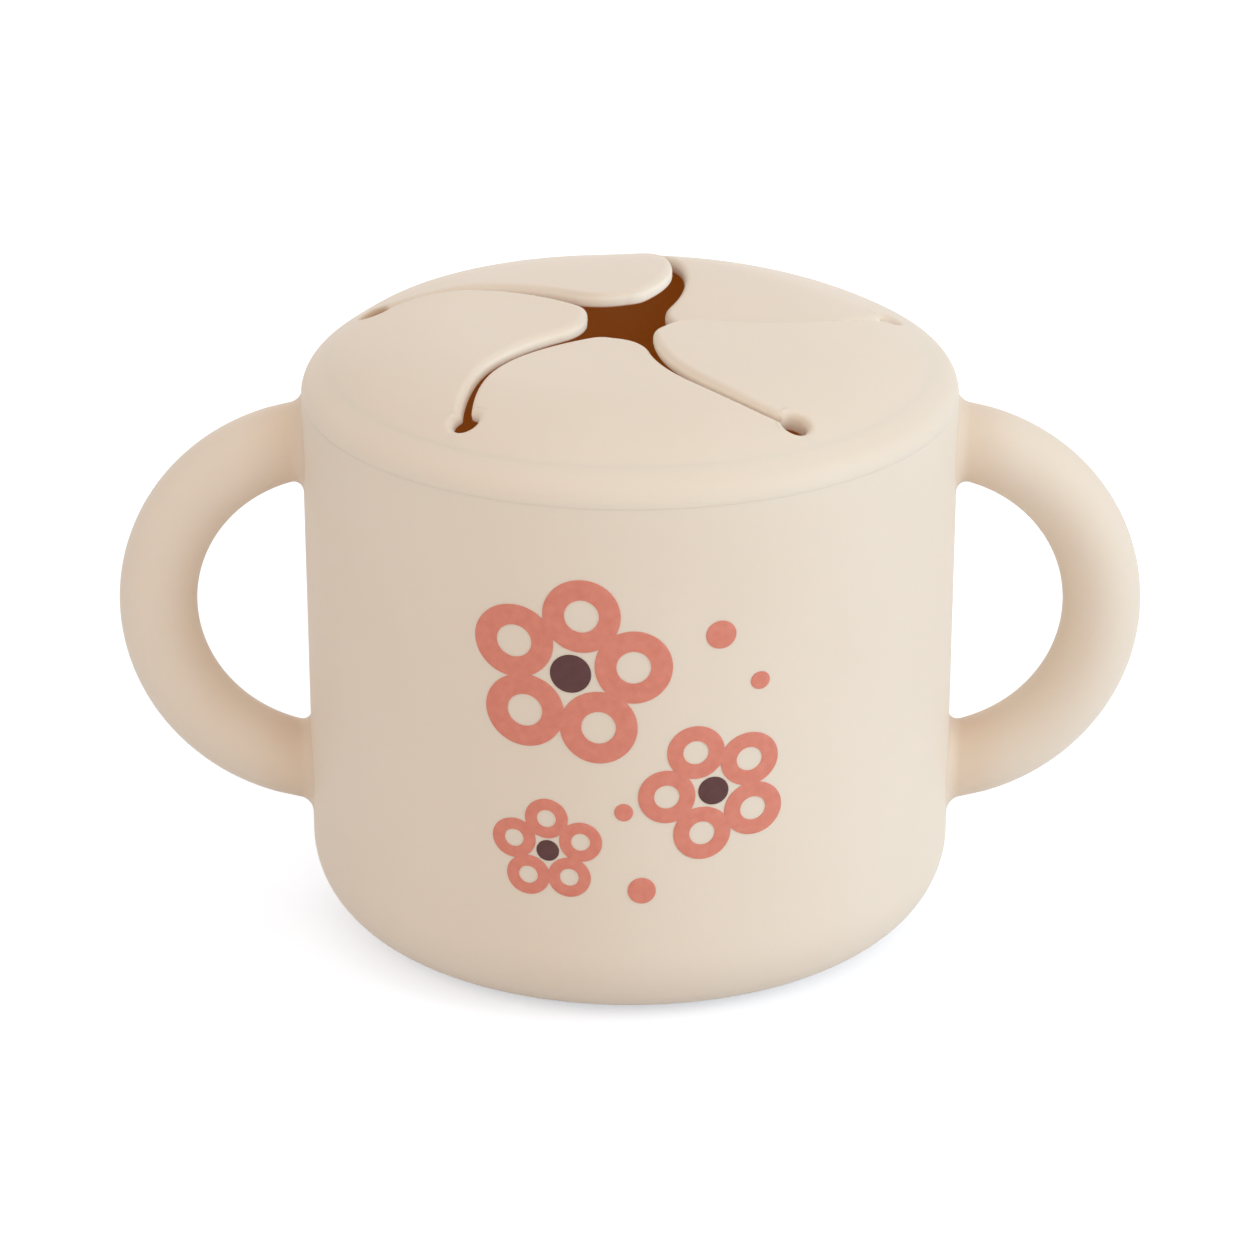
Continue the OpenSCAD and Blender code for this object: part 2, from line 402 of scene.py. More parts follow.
def makeCup():
    foot = wallLowRadius - cup["baseRound"]
    innerRound = cup["baseRound"] - cup["wallThickness"]
    rim, innerRim = cup["rimRound"], cup["innerRimRound"]
    recessRound, standRound = cup["recessRound"], cup["standRound"]
    innerRadius = cup["rimRadius"] - cup["wallThickness"]
    low, high = cup["baseRound"], cup["rimHeight"] - rim
    rows = [low + (high - low) * i / cup["wallRows"] for i in range(1, cup["wallRows"])]
    steps = cup["arcSteps"]
    profile = [(0, cup["recessDepth"])]
    profile += arc((cup["recessRadius"] - 2 * standRound, cup["recessDepth"] - recessRound),
                   recessRound, 90, 30, steps["recess"])
    profile += arc((cup["recessRadius"] + standRound, standRound), standRound, -150, -90, steps["stand"])
    profile += arc((foot, cup["baseRound"]), cup["baseRound"], -90, 0, steps["foot"])
    profile += [(wallRadius(z), z) for z in rows]
    profile += arc((cup["rimRadius"] - rim, high), rim, 0, 90, steps["rim"])
    profile += arc((innerRadius + innerRim, cup["rimHeight"] - innerRim), innerRim, 90, 180,
                   steps["innerRim"])
    profile += [(wallRadius(z) - cup["wallThickness"], z) for z in reversed(rows)]
    profile += arc((foot, cup["baseThickness"] + innerRound), innerRound, 0, -90, steps["innerFoot"])
    profile += [(foot / 2, cup["baseThickness"]), (0, cup["baseThickness"])]
    body = turnProfile("cupBody", profile, cup["steps"])
    smooth(body, cup["smoothAngle"])
    lineInside(body, isInCup)
    return body


cupBody = makeCup()
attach(cupBody, "cup")
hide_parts("cup")
print("cup body ready")


handle = {
    "ringRadius": 23.2,
    "gripRadius": 5.15,
    "ringInset": 3.7,
    "height": 43.0,
    "rootRound": 1.7,
    # beyond the fillet the root runs into the wall: height over the wall, and more flare
    "rootEnd": [(-0.03, 0.4), (-0.6, 0.2), (-1.2, -1.2)],
    "rootSpan": (50, 110),  # the grip meets the wall between these angles
    "searchSteps": 40,
    "sweep": 73.5,  # the plain grip ends at this angle above and below
    "turnSteps": 72,
    "sides": 64,
    "rootRings": 9,
    "endTolerance": 0.002,  # in radians
    "smoothAngle": 60,
}
ringCentre = cup["rimRadius"] - handle["ringInset"]


def wallAcross(along, height):
    # x of the wall's outer surface, where y is along and z is height
    return math.sqrt(wallRadius(height) ** 2 - along ** 2)


def gripPoint(bend, around):
    # a point on the plain grip: bend along the ring, around its round section, in radians
    reach = handle["ringRadius"] + handle["gripRadius"] * math.cos(around)
    return (ringCentre + reach * math.cos(bend), handle["gripRadius"] * math.sin(around),
            handle["height"] + reach * math.sin(bend))


def rootPoint(around, fromWall, flare, side):
    # the grip's surface at a distance from the wall, flared outwards along the wall
    def onGrip(bend):
        x, y, z = gripPoint(bend, around)
        return x, y, handle["height"] + side * (z - handle["height"])

    near, far = (math.radians(bend) for bend in handle["rootSpan"])
    for _ in range(handle["searchSteps"]):
        bend = (near + far) / 2
        x, y, z = onGrip(bend)
        if x - wallAcross(y, z) > fromWall:
            near = bend
        else:
            far = bend
    x, y, z = onGrip(near)
    y += flare * math.sin(around)
    z += side * flare * math.cos(around)
    return Vector((wallAcross(y, z) + fromWall, y, z))


def growRoot(piece, side):
    # extrudes one end of the grip ring by ring into a round fillet on the wall
    fillet = handle["rootRound"]
    rings = []
    for i in range(handle["rootRings"] + 1):
        bend = math.pi / 2 * i / handle["rootRings"]
        rings.append((fillet - fillet * math.sin(bend), fillet - fillet * math.cos(bend)))
    rings += [(fromWall, fillet + flare) for fromWall, flare in handle["rootEnd"]]
    end = math.radians(handle["sweep"])

    def onEnd(vertex):
        place = vertex.co / mm
        bend = math.atan2(side * (place.z - handle["height"]), place.x - ringCentre)
        return abs(bend - end) < handle["endTolerance"]

    selectWhere(piece, "VERT", onEnd)
    for fromWall, flare in rings:
        bpy.ops.mesh.extrude_region_move(TRANSFORM_OT_translate={"value": (0, 0, 0)})
        mesh = bmesh.from_edit_mesh(piece.data)
        layer = mesh.verts.layers.float["around"]
        for vertex in mesh.verts:
            if vertex.select:
                vertex.co = rootPoint(vertex[layer], fromWall, flare, side) * mm
        bmesh.update_edit_mesh(piece.data)
    bpy.ops.mesh.edge_face_add()


def makeHandle():
    end = math.radians(handle["sweep"])
    ring = handle["ringRadius"] * mm
    centre = Vector((ringCentre, 0, handle["height"])) * mm
    bpy.ops.mesh.primitive_circle_add(
        vertices=handle["sides"], radius=handle["gripRadius"] * mm, rotation=(0, end, 0),
        location=centre + Vector((math.cos(end), 0, -math.sin(end))) * ring)
    piece = bpy.context.object
    piece.name = piece.data.name = "handleRight"
    settle(piece)
    # each vertex remembers where it sits round the grip
    around = piece.data.attributes.new("around", "FLOAT", "POINT")
    for vertex, item in zip(piece.data.vertices, around.data):
        out = (vertex.co - centre) / mm
        reach = math.hypot(out.x, out.z) - handle["ringRadius"]
        item.value = math.atan2(out.y, reach)
    startEdit(piece)
    bpy.ops.mesh.select_all(action="SELECT")
    bpy.ops.mesh.spin(steps=handle["turnSteps"], angle=2 * end, center=centre, axis=(0, 1, 0))
    for side in (1, -1):
        growRoot(piece, side)
    tidyMesh(piece)
    piece.data.attributes.remove(piece.data.attributes["around"])
    smooth(piece, handle["smoothAngle"])
    piece.data.materials.append(handleSiliconeRootShade)
    return piece


handleRight = makeHandle()
handleLeft = handleRight.copy()
handleLeft.data = handleRight.data.copy()
handleLeft.name = handleLeft.data.name = "handleLeft"
bpy.context.scene.collection.objects.link(handleLeft)
handleLeft.scale = (-1, 1, 1)
settle(handleLeft)
tidyMesh(handleLeft)
smooth(handleLeft, handle["smoothAngle"])
for piece, node in ((handleRight, "handle_right"), (handleLeft, "handle_left")):
    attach(piece, "cup")
    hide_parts(node)
print("handles ready")


lid = {
    "thickness": 2.0,
    "edgeRadius": 3.5,
    "shoulderRadius": 40.0,
    "edgeTurn": 58.0,
    "shoulderTurn": 85.0,
    "edgeRound": 0.04,
    "plugHeight": 9.0,
    "plugThickness": 2.0,
    "plugGap": 0.6,
    "beads": (2.2, 6.2),
    "beadRadius": 0.8,
    "beadReach": 0.55,
    "beadTurn": 72,
    "shoulderRound": 0.5,  # where the plug leaves the lid's flat edge
    "footRound": 0.6,
    "innerFootRound": 0.4,
    "slope": (0.9, 1.0),  # width and height at which the plug's inside runs into the dome
    "seamRadius": 39.5,  # the flaps' pieces reach out to here
    "seamLength": 0.15,  # the first ring outside the seam, along the dome
    "seamTurn": 0.6,  # and the next one, in degrees round the shoulder
    "jointTurn": 4,  # degrees left free on either side of a joint between two arcs
    "steps": 240,
    "arcSteps": {"seam": 3, "edge": 14, "rim": 4, "shoulder": 3, "bead": 8, "foot": 4, "innerFoot": 4,
                 "underDome": 3},
    "smoothAngle": 50,
}
edgeCentre = (cup["rimRadius"] - lid["edgeRadius"], cup["rimHeight"])
inward = lid["edgeRadius"] - lid["shoulderRadius"]
shoulderCentre = (edgeCentre[0] + inward * math.cos(math.radians(lid["edgeTurn"])),
                  edgeCentre[1] + inward * math.sin(math.radians(lid["edgeTurn"])))
crownRadius = lid["shoulderRadius"] + shoulderCentre[0] / math.cos(math.radians(lid["shoulderTurn"]))
crownCentre = (0, shoulderCentre[1]
               + (lid["shoulderRadius"] - crownRadius) * math.sin(math.radians(lid["shoulderTurn"])))
crownLength = crownRadius * math.radians(90 - lid["shoulderTurn"])
plugRadius = cup["rimRadius"] - cup["wallThickness"] - lid["plugGap"]
plugInner = plugRadius - lid["plugThickness"]


def domePoint(length):
    # place and outward normal on the dome, at a length along its surface from the middle
    if length < crownLength:
        centre, radius = crownCentre, crownRadius
        angle = 90 - math.degrees(length / crownRadius)
    else:
        centre, radius = shoulderCentre, lid["shoulderRadius"]
        angle = lid["shoulderTurn"] - math.degrees((length - crownLength) / radius)
    out = math.cos(math.radians(angle)), math.sin(math.radians(angle))
    return centre[0] + radius * out[0], centre[1] + radius * out[1], out[0], out[1]


def domeLength(across):
    # length along the dome's surface from the middle to a distance from the axis
    joint = crownRadius * math.cos(math.radians(lid["shoulderTurn"]))
    if across < joint:
        return crownRadius * math.asin(across / crownRadius)
    turn = math.acos((across - shoulderCentre[0]) / lid["shoulderRadius"])
    return crownLength + lid["shoulderRadius"] * (math.radians(lid["shoulderTurn"]) - turn)


def underDome(length):
    across, height, outX, outZ = domePoint(length)
    return across - lid["thickness"] * outX, height - lid["thickness"] * outZ


# the soft dome stands a little high towards the left
stand = {
    "height": 0.75,
    "direction": 210,
    "halfSpread": 130,
    "spreadFade": 70,
    "outerEdge": 43.0,  # no rise beyond this distance from the axis, nor near the middle
    "outerFade": 7.0,
    "innerEdge": 10.0,
    "innerFade": 20.0,
    "foot": 0.5,  # nor below this height over the rim
    "footFade": 1.5,
}


def standing(place):
    # how far the dome is raised at a place, in metres
    reach, rise = place.xy.length / mm, place.z / mm - cup["rimHeight"]
    turn = abs((angleOf(place) - stand["direction"] + 180) % 360 - 180)
    share = ease((stand["outerEdge"] - reach) / stand["outerFade"])
    share *= ease((reach - stand["innerEdge"]) / stand["innerFade"])
    share *= ease((stand["halfSpread"] - turn) / stand["spreadFade"])
    share *= ease((rise - stand["foot"]) / stand["footFade"])
    return stand["height"] * share * mm


def makeCrown():
    # rim of the lid and the plug below it, in one turned shape
    seam = domeLength(lid["seamRadius"])
    edge = math.degrees(math.acos((lid["seamRadius"] - shoulderCentre[0]) / lid["shoulderRadius"]))
    rim, foot = cup["rimHeight"], cup["rimHeight"] - lid["plugHeight"]
    steps = lid["arcSteps"]
    profile = [domePoint(seam)[:2], domePoint(seam + lid["seamLength"])[:2]]
    profile += arc(shoulderCentre, lid["shoulderRadius"], edge - lid["seamTurn"], lid["edgeTurn"],
                   steps["seam"])
    profile += arc(edgeCentre, lid["edgeRadius"], lid["edgeTurn"] - lid["jointTurn"], lid["jointTurn"],
                   steps["edge"])
    rounding = lid["edgeRound"]
    profile += arc((cup["rimRadius"] - rounding, rim + rounding), rounding, 0, -90, steps["rim"])
    rounding = lid["shoulderRound"]
    profile += [(plugRadius + rounding, rim)]
    profile += arc((plugRadius + rounding, rim - rounding), rounding, 120, 180, steps["shoulder"])
    for height in reversed(lid["beads"]):
        profile += arc((plugRadius + lid["beadReach"] - lid["beadRadius"], foot + height),
                       lid["beadRadius"], lid["beadTurn"], -lid["beadTurn"], steps["bead"])
    rounding = lid["footRound"]
    profile += arc((plugRadius - rounding, foot + rounding), rounding, 0, -90, steps["foot"])
    rounding = lid["innerFootRound"]
    profile += arc((plugInner + rounding, foot + rounding), rounding, -90, -180, steps["innerFoot"])
    low = domeLength(plugInner + lid["slope"][0])
    profile += [(plugInner, rim + lid["slope"][1])]
    pitch = (seam - low) / steps["underDome"]
    profile += [underDome(low + i * pitch) for i in range(steps["underDome"] + 1)]
    profile += [profile[0]]
    piece = turnProfile("lidCrown", profile, lid["steps"])
    for vertex in piece.data.vertices:
        vertex.co.z += standing(vertex.co)
    smooth(piece, lid["smoothAngle"])
    lineInside(piece, lambda face: face.center.xy.length < (plugInner + lid["shoulderRound"]) * mm)
    return piece


lidCrown = makeCrown()
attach(lidCrown, "lid")
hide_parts("lid_crown", "lid_plug")
print("lid crown ready")


slits = {
    "holeRing": 35.6,
    "holeRadius": 1.7,
    "width": 1.4,
    "radius": 25.4,
    "turn": 52.3,
    "opening": 5.8,
    "leadCorner": 3.4,
    "trailCorner": 6.0,
    "topRound": 0.95,
    "topSegments": 6,
    "underRound": 0.4,
    "underSegments": 3,
    "collar": 0.9,  # the sheet is up to this much thicker round a hole, fading out at collarReach
    "collarReach": 1.9,
    "collarRise": 1.6,
    "middleDepth": 0.5,  # depths are shares of the sheet's thickness
    "undersideDepth": 0.999,
    "support": 0.16,
    "fewestSides": 60,  # the sheet's two broad faces have more sides than this
    "rowPitch": 1.2,
    "columnPitch": 1.5,
    "arcSteps": {"firstHole": 20, "lead": 30, "leadCorner": 10, "opening": 6,
                 "trailCorner": 12, "trail": 30, "lastHole": 14},
    "smoothAngle": 50,
}
# dip: degrees that a flap hangs in at rest, a negative one stands proud
# lean: how far its soft nose rests to the right
flapRest = {
    "flap_front": {"dip": 1.3, "lean": 0.0},
    "flap_right": {"dip": -1.2, "lean": -0.45},
    "flap_back_right": {"dip": 4.6, "lean": 1.35},
    "flap_back_left": {"dip": -3.8, "lean": 1.1},
    "flap_left": {"dip": -2.0, "lean": 0.25},
}
# by direction in degrees: each relief hole's share of the collar, and how much painted shade its wall gets
holeRest = {
    -126: {"collar": 0.0, "tan": 0.1},
    -54: {"collar": 0.9, "tan": 0.35},
    18: {"collar": 0.9, "tan": 0.1},
    90: {"collar": 0.5, "tan": 0.5},
    162: {"collar": 0.5, "tan": 0.95},
}
bendFrom, bendTo = 30.2, 24.6  # the sheet bends between these distances from the axis
sector = 360 / len(flapRest)
slitTurn = math.radians(slits["turn"])
slitCentre = (slits["holeRing"] - slits["radius"] * math.cos(slitTurn),
              slits["radius"] * math.sin(slitTurn))
leadRadius = slits["radius"] - slits["width"] / 2
trailRadius = slits["radius"] + slits["width"] / 2


def arcTo(centre, radius, start, end, side, steps):
    # arc about centre from the direction of start to that of end, to the left (1) or right (-1)
    first = angleOf((start[0] - centre[0], start[1] - centre[1]))
    last = angleOf((end[0] - centre[0], end[1] - centre[1]))
    return arc(centre, radius, first, first + side * ((side * (last - first)) % 360), steps)


def noseCorner(centre, cornerRadius, fromAxis):
    # centre of a corner rounding that touches a slit's edge and the opening
    distance = math.hypot(*centre)
    along = (distance ** 2 + fromAxis ** 2 - cornerRadius ** 2) / (2 * distance)
    return turned((along, -math.sqrt(fromAxis ** 2 - along ** 2)), angleOf(centre))


def holeMeetsEdge(edgeRadius):
    # point where a slit's edge runs into the relief hole on the x axis
    hole = slits["holeRing"]
    gap = math.hypot(slitCentre[0] - hole, slitCentre[1])
    along = (gap ** 2 + slits["holeRadius"] ** 2 - edgeRadius ** 2) / (2 * gap)
    across = math.sqrt(slits["holeRadius"] ** 2 - along ** 2)
    towards = ((slitCentre[0] - hole) / gap, slitCentre[1] / gap)
    return hole + along * towards[0] - across * towards[1], along * towards[1] + across * towards[0]


def flapOutline():
    # outline in plan of one fifth of the dome: half a hole, a flap, half a hole, the seam
    trailCentre = turned(slitCentre, sector)
    noseA = noseCorner(slitCentre, leadRadius - slits["leadCorner"], slits["opening"] + slits["leadCorner"])
    noseB = noseCorner(trailCentre, trailRadius + slits["trailCorner"],
                       slits["opening"] + slits["trailCorner"])
    beyondA = (2 * noseA[0] - slitCentre[0], 2 * noseA[1] - slitCentre[1])
    hole = (slits["holeRing"], 0)
    outermost = (slits["holeRing"] + slits["holeRadius"], 0)
    lead = holeMeetsEdge(leadRadius)
    trail = holeMeetsEdge(trailRadius)
    steps = slits["arcSteps"]
    points = arcTo(hole, slits["holeRadius"], outermost, lead, 1, steps["firstHole"])
    points += arcTo(slitCentre, leadRadius, lead, noseA, -1, steps["lead"])[1:]
    points += arcTo(noseA, slits["leadCorner"], beyondA, (0, 0), -1, steps["leadCorner"])[1:]
    points += arcTo((0, 0), slits["opening"], noseA, noseB, 1, steps["opening"])[1:]
    points += arcTo(noseB, slits["trailCorner"], (0, 0), trailCentre, -1, steps["trailCorner"])[1:]
    points += arcTo(trailCentre, trailRadius, noseB, turned(trail, sector), 1, steps["trail"])[1:]
    lastHole = arcTo(hole, slits["holeRadius"], trail, outermost, 1, steps["lastHole"])[1:]
    points += [turned(p, sector) for p in lastHole]
    points += arc((0, 0), lid["seamRadius"], sector, 0, int(lid["steps"] / len(flapRest)))
    return points


def makeFlapSheet():
    # one fifth of the dome, flat: filled, thickened, its slit edges rounded, then divided
    outline = []
    for point in flapOutline():
        stretch = domeLength(math.hypot(*point)) / math.hypot(*point)
        outline.append((point[0] * stretch, point[1] * stretch, 0))
    piece = drawLine("flapSheet", outline, closed=True)
    startEdit(piece, "FACE")
    bpy.ops.mesh.select_all(action="SELECT")
    bpy.ops.mesh.extrude_region_move(TRANSFORM_OT_translate={"value": (0, 0, -lid["thickness"] * mm)})
    bpy.ops.mesh.select_all(action="SELECT")
    bpy.ops.mesh.normals_make_consistent(inside=False)
    reachOfCut = domeLength(slits["holeRing"] + slits["holeRadius"]) * mm - 5 * weld

    def slitEdge(height):
        return lambda edge: (all(abs(vertex.co.z - height) < weld for vertex in edge.verts)
                             and middle(edge).xy.length < reachOfCut)

    for height, rounding, segments in (
            (0, slits["topRound"], slits["topSegments"]),
            (-lid["thickness"] * mm, slits["underRound"], slits["underSegments"])):
        selectWhere(piece, "EDGE", slitEdge(height))
        bpy.ops.mesh.bevel(offset=rounding * mm, segments=segments, profile=0.5, affect="EDGES",
                           clamp_overlap=False)
    for up in (1, -1):
        selectWhere(piece, "FACE", lambda face: (len(face.verts) > slits["fewestSides"]
                                                 and face.normal.z * up > upright))
        bpy.ops.mesh.inset(thickness=slits["support"] * mm, depth=0)
    divideSheet()
    leaveEdit()
    return piece


def divideSheet():
    # cuts the sheet in edit mode into rows along the hinge and columns across it, so that it can bend
    along = Vector((*turned((1, 0), sector / 2), 0))
    across = Vector((-along.y, along.x, 0))
    reach = domeLength(lid["seamRadius"])
    for direction, pitch, low in ((along, slits["rowPitch"], 0), (across, slits["columnPitch"], -reach)):
        for i in range(1, int((reach - low) / pitch)):
            cutAll(direction * (low + i * pitch) * mm, direction)


def gapToHole(place):
    # how far a place on the flat sheet lies from the wall of the nearer relief hole
    ring = domeLength(slits["holeRing"])
    gaps = [math.dist(place.xy / mm, turned((ring, 0), turn)) for turn in (0, sector)]
    return min(gaps) - slits["holeRadius"]


def markCut(piece):
    # notes on each vertex how far down a cut edge it lies, 0 on top and 1 at the lower edge,
    # how near the wall of a relief hole, 1 on it, for the painted shade there, and its share of the hole's collar
    depths = [-vertex.co.z / mm / lid["thickness"] for vertex in piece.data.vertices]
    gaps = [gapToHole(vertex.co) for vertex in piece.data.vertices]
    marks = {
        # the underside gets the same painted light as the middle of a cut
        "cutDepth": [depth if depth < slits["undersideDepth"] else slits["middleDepth"]
                     for depth in depths],
        "holeWallShade": [ease(1 - gap / slits["topRound"]) for gap in gaps],
        # only the lower half of the sheet moves down
        "collar": [ease((1 - gap / slits["collarReach"]) * slits["collarRise"])
                   if depth > slits["middleDepth"] else 0 for depth, gap in zip(depths, gaps)],
    }
    for name, values in marks.items():
        mark = piece.data.attributes.new(name, "FLOAT", "POINT")
        mark.data.foreach_set("value", values)


def layOnDome(piece):
    # lays the flat sheet on the dome, keeping its thickness
    for vertex in piece.data.vertices:
        flat = vertex.co / mm
        length = flat.xy.length
        across, height, outX, outZ = domePoint(length)
        reach = (across + flat.z * outX) / length
        vertex.co = Vector((flat.x * reach, flat.y * reach, height + flat.z * outZ)) * mm


def restOfHole(place):
    # what holeRest says of the relief hole nearest to a place
    return min(holeRest.items(), key=lambda item: abs((angleOf(place) - item[0] + 180) % 360 - 180))[1]


def makeFlap(sheet, name, rest):
    piece = sheet.copy()
    piece.data = sheet.data.copy()
    piece.name = piece.data.name = "lid_" + name
    bpy.context.scene.collection.objects.link(piece)
    joint = next(j for j in frame["joints"] if j["child"] == name)
    hinge, axis = Vector(joint["pos_m"]), Vector(joint["axis"])
    outward = Vector((hinge.x, hinge.y, 0)).normalized()
    place = Matrix.Rotation(math.atan2(outward.y, outward.x) - math.radians(sector / 2), 4, "Z")
    holeWallShade, collar = (piece.data.attributes[mark].data for mark in ("holeWallShade", "collar"))
    for i, vertex in enumerate(piece.data.vertices):
        vertex.co = place @ vertex.co
        hole = restOfHole(vertex.co)
        # the painted shade in the wall of this relief hole
        holeWallShade[i].value *= hole["tan"]
        vertex.co.z += standing(vertex.co) - slits["collar"] * hole["collar"] * collar[i].value * mm
        share = ease((bendFrom - vertex.co.dot(outward) / mm) / (bendFrom - bendTo))
        angle = math.radians(rest["dip"]) * share
        vertex.co = hinge + Matrix.Rotation(angle, 3, axis) @ (vertex.co - hinge)
        vertex.co.x += rest["lean"] * share * mm
    piece.data.attributes.remove(piece.data.attributes["collar"])
    smooth(piece, slits["smoothAngle"])
    piece.data.materials.append(flapSiliconePaintedLightShade)
    height = Vector((0, 0, hinge.z))
    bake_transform(piece, "lid", name, start=outward * bendFrom * mm + height, end=outward * bendTo * mm + height)
    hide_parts(name)
    return piece


flapSheet = makeFlapSheet()
markCut(flapSheet)
layOnDome(flapSheet)
for name, rest in flapRest.items():
    makeFlap(flapSheet, name, rest)
bpy.data.objects.remove(flapSheet)
print("flaps ready")


artwork = {
    "thickness": 0.1,
    "sunk": 0.03,
    "edgeRound": 0.04,
    "edgeSegments": 2,
    "discSides": 96,
    "punchSides": 64,
    "punchDepth": 2,
    "span": 64,  # the print lies within this width and height
    "pitch": 1.0,
    "blossoms": [(-7.5, 50.5, 13, 8), (10.6, 34, 9.6, 40), (-10.5, 25.6, 7.2, 20)],
    "dots": [(11.5, 55.5, 1.9), (16.5, 48.5, 1.2), (-0.8, 31.5, 1.2), (1.5, 20.5, 1.8)],
    "petals": 5,
    "petalRadius": 0.38,  # the petals' sizes are shares of the blossom's radius
    "petalHole": 0.17,
    "heart": 0.2,
    "smoothAngle": 30,
}


def addDisc(name, across, height, radius):
    # a thin disc of ink with a rounded upper edge
    depth = (artwork["thickness"] + artwork["sunk"]) * mm
    bpy.ops.mesh.primitive_cylinder_add(
        vertices=artwork["discSides"], radius=radius * mm, depth=depth,
        location=(across * mm, height * mm, depth / 2))
    piece = bpy.context.object
    piece.name = piece.data.name = name
    settle(piece)
    startEdit(piece, "EDGE")
    selectWhere(piece, "EDGE", lambda edge: all(vertex.co.z > depth / 2 for vertex in edge.verts))
    bpy.ops.mesh.bevel(offset=artwork["edgeRound"] * mm, segments=artwork["edgeSegments"],
                       profile=0.5, affect="EDGES")
    leaveEdit()
    return piece


def addPunch(across, height, radius):
    bpy.ops.mesh.primitive_cylinder_add(
        vertices=artwork["punchSides"], radius=radius * mm, depth=artwork["punchDepth"] * mm,
        location=(across * mm, height * mm, 0))
    piece = bpy.context.object
    settle(piece)
    return piece


def combine(piece, other, operation):
    modifier = piece.modifiers.new("combine", "BOOLEAN")
    modifier.operation = operation
    modifier.solver = "EXACT"
    modifier.object = other
    pickOnly(piece)
    bpy.ops.object.modifier_apply(modifier="combine")
    bpy.data.objects.remove(other)


def makeBlossom(index, blossom):
    across, height, radius, turn = blossom
    reach = (1 - artwork["petalRadius"]) * radius
    places = []
    for i in range(artwork["petals"]):
        x, y = turned((reach, 0), turn + 360 * i / artwork["petals"])
        places.append((across + x, height + y))
    petals = addDisc(f"blossom{index}", *places[0], artwork["petalRadius"] * radius)
    for x, y in places[1:]:
        combine(petals, addDisc("petal", x, y, artwork["petalRadius"] * radius), "UNION")
    for x, y in places:
        combine(petals, addPunch(x, y, artwork["petalHole"] * radius), "DIFFERENCE")
    return petals


def layOnWall(piece):
    # cuts the ink into small squares and lays it on the front of the wall
    tidyMesh(piece)
    startEdit(piece)
    for i in range(int(artwork["span"] / artwork["pitch"])):
        place = i * artwork["pitch"] * mm
        cutAll((place - artwork["span"] / 2 * mm, 0, 0), (1, 0, 0))
        cutAll((0, place, 0), (0, 1, 0))
    bpy.ops.mesh.select_all(action="SELECT")
    bpy.ops.mesh.quads_convert_to_tris(quad_method="BEAUTY", ngon_method="BEAUTY")
    leaveEdit()
    for vertex in piece.data.vertices:
        across, height, lift = vertex.co / mm
        radius = wallRadius(height)
        out = Vector((across, -math.sqrt(radius ** 2 - across ** 2), 0))
        out += out.normalized() * (lift - artwork["sunk"])
        vertex.co = Vector((out.x, out.y, height)) * mm
    smooth(piece, artwork["smoothAngle"])


def joinAs(name, pieces):
    pickOnly(*pieces)
    bpy.ops.object.join()
    pieces[0].name = pieces[0].data.name = name
    return pieces[0]


def makeArtwork():
    pink = [makeBlossom(i, blossom) for i, blossom in enumerate(artwork["blossoms"])]
    pink += [addDisc("dot", *dot) for dot in artwork["dots"]]
    plum = [addDisc("heart", x, y, artwork["heart"] * size) for x, y, size, turn in artwork["blossoms"]]
    for name, parts, ink, node in (("printPink", pink, inkPink, "print_pink"),
                                   ("printPlum", plum, inkPlum, "print_plum")):
        piece = joinAs(name, parts)
        layOnWall(piece)
        piece.data.materials.clear()
        piece.data.materials.append(ink)
        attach(piece, "cup")
        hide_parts(node)


makeArtwork()
print("print ready")


studio = {
    "floorSize": 1.6,
    "floorHeight": -0.00002,  # a hair below the base, so that the two don't flicker
    "floorTone": (0.79, 0.80, 0.82),
    "floorLift": (0.45, 0.47, 0.50),  # added for the camera, so that the open floor is white
    "ambient": (0.575, 0.567, 0.560),
    "lampAim": (0, 0, 0.04),
    "lamps": [
        # name, place, size, watts, colour
        ("keyLight", (0.75, -0.75, 1.10), 0.9, 1.9, (1.0, 0.92, 0.86)),
        ("rightLight", (1.25, -0.35, 0.40), 0.9, 7.6, (0.64, 0.85, 1.0)),
        ("fillLight", (-1.05, -0.70, 0.75), 1.1, 2.8, (1.0, 0.88, 0.77)),
        ("frontLight", (0.35, -1.35, 0.45), 0.9, 2.2, (1.0, 0.95, 0.88)),
        ("topLight", (0.05, 0.35, 1.35), 1.2, 2.2, (0.95, 0.97, 1.0)),
        ("backLight", (-0.10, 1.25, 0.38), 1.0, 1.9, (0.93, 0.97, 1.0)),
    ],
}


def seenByCamera(nodes, links):
    # 1 for rays from the camera, and for mirrored and passed-through ones
    path = nodes.new("ShaderNodeLightPath")
    total = path.outputs["Is Camera Ray"]
    for kind in ("Is Glossy Ray", "Is Transmission Ray"):
        most = nodes.new("ShaderNodeMath")
        most.operation = "MAXIMUM"
        links.new(total, most.inputs[0])
        links.new(path.outputs[kind], most.inputs[1])
        total = most.outputs[0]
    return total


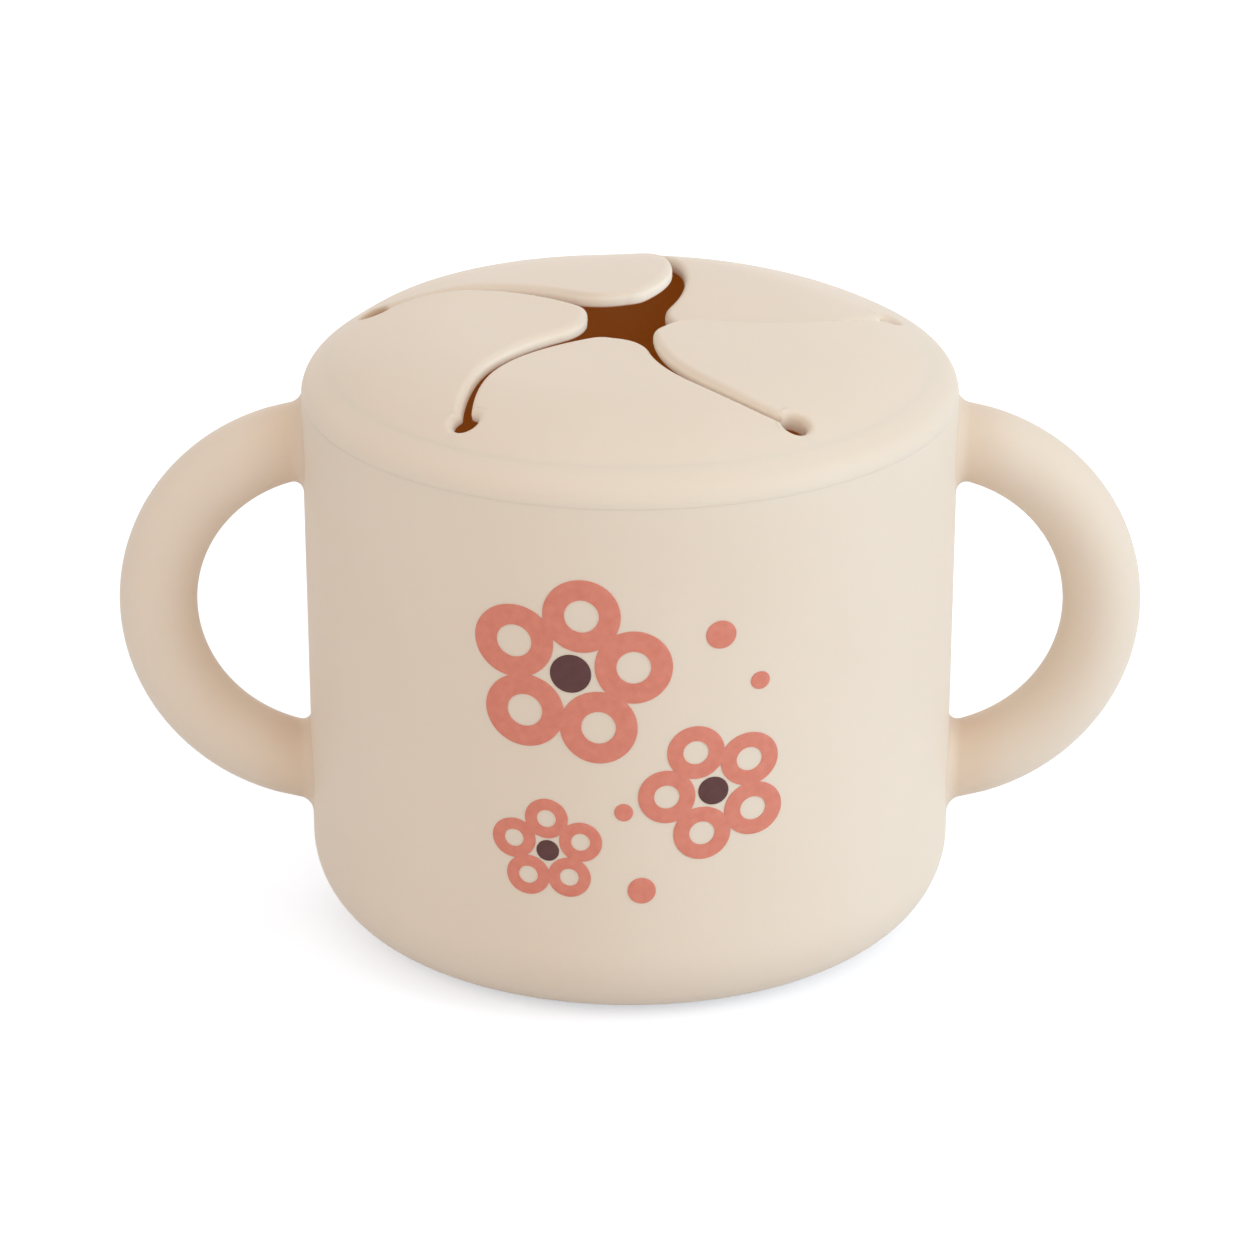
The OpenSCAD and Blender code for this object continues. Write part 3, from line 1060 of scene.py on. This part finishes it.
def makeFloor():
    bpy.ops.mesh.primitive_plane_add(size=studio["floorSize"], location=(0, 0, studio["floorHeight"]))
    floor = bpy.context.object
    floor.name = "floor"
    material, nodes, links, shader = newMaterial("paleFloor")
    output = nodes["Material Output"]
    nodes.remove(shader)
    matte = nodes.new("ShaderNodeBsdfDiffuse")
    matte.inputs["Color"].default_value = (*studio["floorTone"], 1)
    glow = nodes.new("ShaderNodeEmission")
    glow.inputs["Color"].default_value = (*studio["floorLift"], 1)
    links.new(seenByCamera(nodes, links), glow.inputs["Strength"])
    both = nodes.new("ShaderNodeAddShader")
    links.new(matte.outputs[0], both.inputs[0])
    links.new(glow.outputs[0], both.inputs[1])
    links.new(both.outputs[0], output.inputs["Surface"])
    floor.data.materials.append(material)


def makeWorld():
    world = bpy.data.worlds.new("studio")
    bpy.context.scene.world = world
    world.use_nodes = True
    nodes, links = world.node_tree.nodes, world.node_tree.links
    white, soft = nodes["Background"], nodes.new("ShaderNodeBackground")
    white.inputs["Color"].default_value = (1, 1, 1, 1)
    soft.inputs["Color"].default_value = (*studio["ambient"], 1)
    mix = nodes.new("ShaderNodeMixShader")
    links.new(seenByCamera(nodes, links), mix.inputs["Fac"])
    links.new(soft.outputs[0], mix.inputs[1])
    links.new(white.outputs[0], mix.inputs[2])
    links.new(mix.outputs[0], nodes["World Output"].inputs["Surface"])


def addLamp(name, place, size, watts, colour):
    bpy.ops.object.light_add(type="AREA", location=place)
    lamp = bpy.context.object
    lamp.name = name
    lamp.data.shape = "DISK"
    lamp.data.size = size
    lamp.data.energy = watts
    lamp.data.color = colour
    aim = Vector(studio["lampAim"]) - Vector(place)
    lamp.rotation_euler = aim.to_track_quat("-Z", "Y").to_euler()


view = {
    "place": (0, -0.7866, 0.3689),
    "target": (0, 0, 0.0388),
    "lens": 183.46,
    "sensor": 36.0,
    "nearest": 0.01,
}


def makeCamera():
    bpy.ops.object.camera_add(location=view["place"])
    camera = bpy.context.object
    camera.name = "camera"
    aim = Vector(view["target"]) - Vector(view["place"])
    camera.rotation_euler = aim.to_track_quat("-Z", "Y").to_euler()
    camera.data.sensor_width = view["sensor"]
    camera.data.lens = view["lens"]
    camera.data.clip_start = view["nearest"]
    bpy.context.scene.camera = camera


makeFloor()
makeWorld()
for lamp in studio["lamps"]:
    addLamp(*lamp)
makeCamera()
bpy.context.scene.view_settings.view_transform = "Standard"
print("studio ready")
